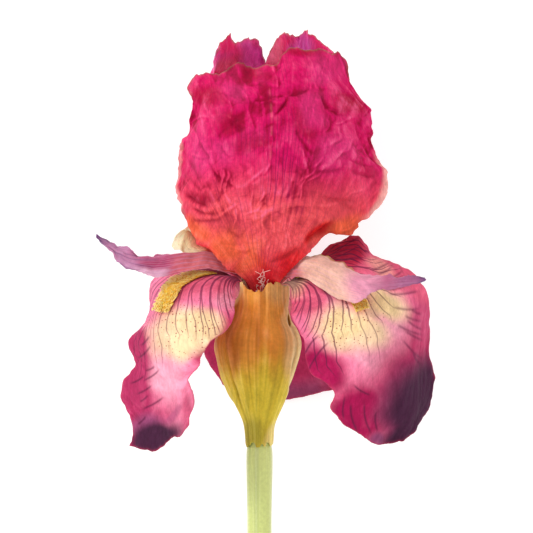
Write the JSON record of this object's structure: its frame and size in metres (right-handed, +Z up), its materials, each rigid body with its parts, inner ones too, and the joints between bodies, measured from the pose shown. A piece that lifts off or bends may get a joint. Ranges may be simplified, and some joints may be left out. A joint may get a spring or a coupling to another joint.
{
  "type": "bearded iris flower",
  "caption": "Bearded iris flower on a short cut stem, lying down: crinkled rose standards, veined pink and plum falls with yellow beards, papery ochre bracts.",
  "frame": {"origin": "on the surface that the flower lies on, below the middle of its bounding box", "axes": "+Y along the flower's axis from the cut stem to the tips of the standards, +Z up from the surface to the petal that faces the viewer, +X to the right as seen from above"},
  "size_m": [0.1278, 0.247, 0.096],
  "materials": {
    "standard": "satin",
    "standard_rear": "satin",
    "fall": "satin",
    "style_arm": "satin",
    "beard": "matte",
    "bract_outer": "matte",
    "bract_inner": "matte",
    "stem": "satin",
    "ovary": "satin",
    "tube": "satin",
    "stamen": "matte"
  },
  "bodies": {
    "root": {"stem": "stem", "ovary": "ovary", "perianth_tube": "tube", "style_column": "tube", "bract_outer": "bract_outer", "bract_inner": "bract_inner", "standard_front": "standard", "standard_left": "standard_rear", "standard_right": "standard_rear", "fall_left": "fall", "fall_right": "fall", "fall_back": "fall", "style_arm_left": "style_arm", "style_arm_right": "style_arm", "style_arm_back": "style_arm", "beard_left": "beard", "beard_right": "beard", "beard_back": "beard", "stamen_left": "stamen", "stamen_right": "stamen", "stamen_back": "stamen"}
  },
  "joints": []
}
